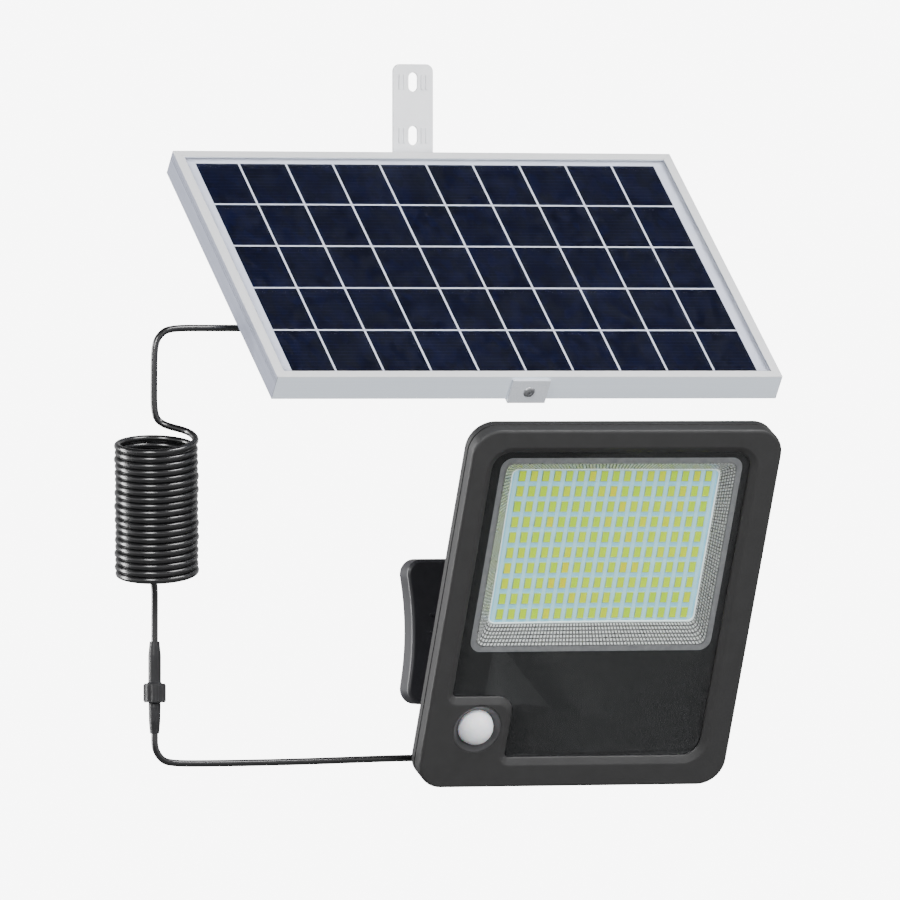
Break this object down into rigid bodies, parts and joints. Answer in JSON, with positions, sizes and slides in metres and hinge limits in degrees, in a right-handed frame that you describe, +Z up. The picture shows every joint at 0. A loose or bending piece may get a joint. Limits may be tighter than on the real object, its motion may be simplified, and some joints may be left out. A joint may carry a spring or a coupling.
{
  "type": "solar flood light",
  "caption": "Wall-mounted solar flood light: tilting solar panel on a strap bracket, tilting LED lamp with motion sensor on a wall plate, joined by a coiled cord.",
  "frame": {"origin": "middle of the lamp wall plate's back face, on the wall plane", "axes": "+Z up, +Y into the wall, +X to the right as the light is looked at"},
  "size_m": [0.4407, 0.2044, 0.4707],
  "materials": {
    "anodised_frame": "satin anodised",
    "frame_key": "mill finish",
    "panel_glass": "clear tempered",
    "cell": "dark blue silicon",
    "white_sheet": "matte white",
    "clear_film": "milky film",
    "gasket": "matte",
    "black_plastic": "fine texture",
    "zinc_steel": "zinc plated",
    "pale_strap": "pale grey coat",
    "tin_terminal": "plated",
    "diode": "gloss",
    "dark_casting": "matte dark grey powder coat",
    "black_bracket": "satin black powder coat",
    "lamp_glass": "clear tempered",
    "print": "black ink",
    "reflector": "faceted metallised",
    "light_board": "white solder mask",
    "led": "phosphor",
    "heat_plate": "mill finish",
    "lens": "milky white",
    "can": "metal can",
    "green_board": "solder mask",
    "seal": "matte",
    "battery": "shrink sleeve",
    "holder": "matte",
    "switch_rubber": "matte",
    "switch_case": "matte",
    "cord": "satin"
  },
  "bodies": {
    "brackets_and_cord": {"panel_wall_strap": "pale_strap", "panel_hinge_bolt": "zinc_steel", "lamp_wall_bracket": "black_bracket", "panel_lead": "cord", "cable_coil": "cord", "plug_lead": "cord", "plug_body": "cord", "socket_body": "cord", "connector_seal": "gasket", "plug_pins": "tin_terminal", "lamp_lead": "cord"},
    "solar_panel": {"frame_rail_bottom": "anodised_frame", "frame_rail_top": "anodised_frame", "frame_rail_left": "anodised_frame", "frame_rail_right": "anodised_frame", "frame_corner_keys": "frame_key", "backsheet": "white_sheet", "panel_glass": "panel_glass", "glass_gasket": "gasket", "solar_cells": "cell", "encapsulant": "clear_film", "junction_box_base": "black_plastic", "junction_box_seal": "gasket", "junction_box_lid": "black_plastic", "junction_box_screws": "zinc_steel", "junction_terminals": "tin_terminal", "bypass_diode": "diode", "panel_gland": "black_plastic", "panel_lead_end": "cord", "panel_crossbar": "anodised_frame", "crossbar_screws": "zinc_steel", "hinge_friction_washers": "zinc_steel"},
    "lamp_head": {"front_bezel": "dark_casting", "front_glass": "lamp_glass", "black_print_mask": "print", "reflector": "reflector", "led_board": "light_board", "heat_spreader": "heat_plate", "leds": "led", "sensor_collar": "dark_casting", "sensor_lens": "lens", "motion_detector": "can", "sensor_board": "green_board", "rear_housing": "dark_casting", "housing_seal": "seal", "housing_screws": "zinc_steel", "battery_cells": "battery", "battery_holder": "holder", "control_board": "green_board", "switch_boot": "switch_rubber", "switch_body": "switch_case", "lamp_gland": "black_plastic", "lamp_hinge_bolt": "zinc_steel", "lamp_hinge_washers": "zinc_steel", "lamp_lead_end": "cord"},
    "power_button": {"power_button": "switch_rubber"},
    "coupling_nut": {"coupling_nut": "cord"},
    "panel_wing_nut": {"panel_wing_nut": "zinc_steel"},
    "lamp_hinge_knob": {"lamp_hinge_knob": "black_plastic"}
  },
  "joints": [
    {"name": "panel_tilt", "type": "hinge", "parent": "brackets_and_cord", "child": "solar_panel", "pos_m": [-0.0727, -0.1179, 0.198], "axis": [1, 0, 0], "range_deg": [-1.5, 8]},
    {"name": "lamp_tilt", "type": "hinge", "parent": "brackets_and_cord", "child": "lamp_head", "pos_m": [0, -0.085, 0], "axis": [1, 0, 0], "range_deg": [-45, 30]},
    {"name": "power_button_press", "type": "slide", "parent": "lamp_head", "child": "power_button", "axis": [0, -0.4115, 0.9114], "range_m": [0, 0.0015], "stiffness_N_per_m": 400},
    {"name": "coupling_nut_turn", "type": "hinge", "parent": "brackets_and_cord", "child": "coupling_nut", "pos_m": [-0.2892, -0.094, -0.036], "axis": [0, 0, 1], "continuous": true},
    {"name": "wing_nut_turn", "type": "hinge", "parent": "brackets_and_cord", "child": "panel_wing_nut", "pos_m": [-0.0557, -0.1179, 0.198], "axis": [1, 0, 0], "continuous": true},
    {"name": "hinge_knob_turn", "type": "hinge", "parent": "lamp_head", "child": "lamp_hinge_knob", "pos_m": [0.028, -0.085, 0], "axis": [1, 0, 0], "continuous": true}
  ]
}
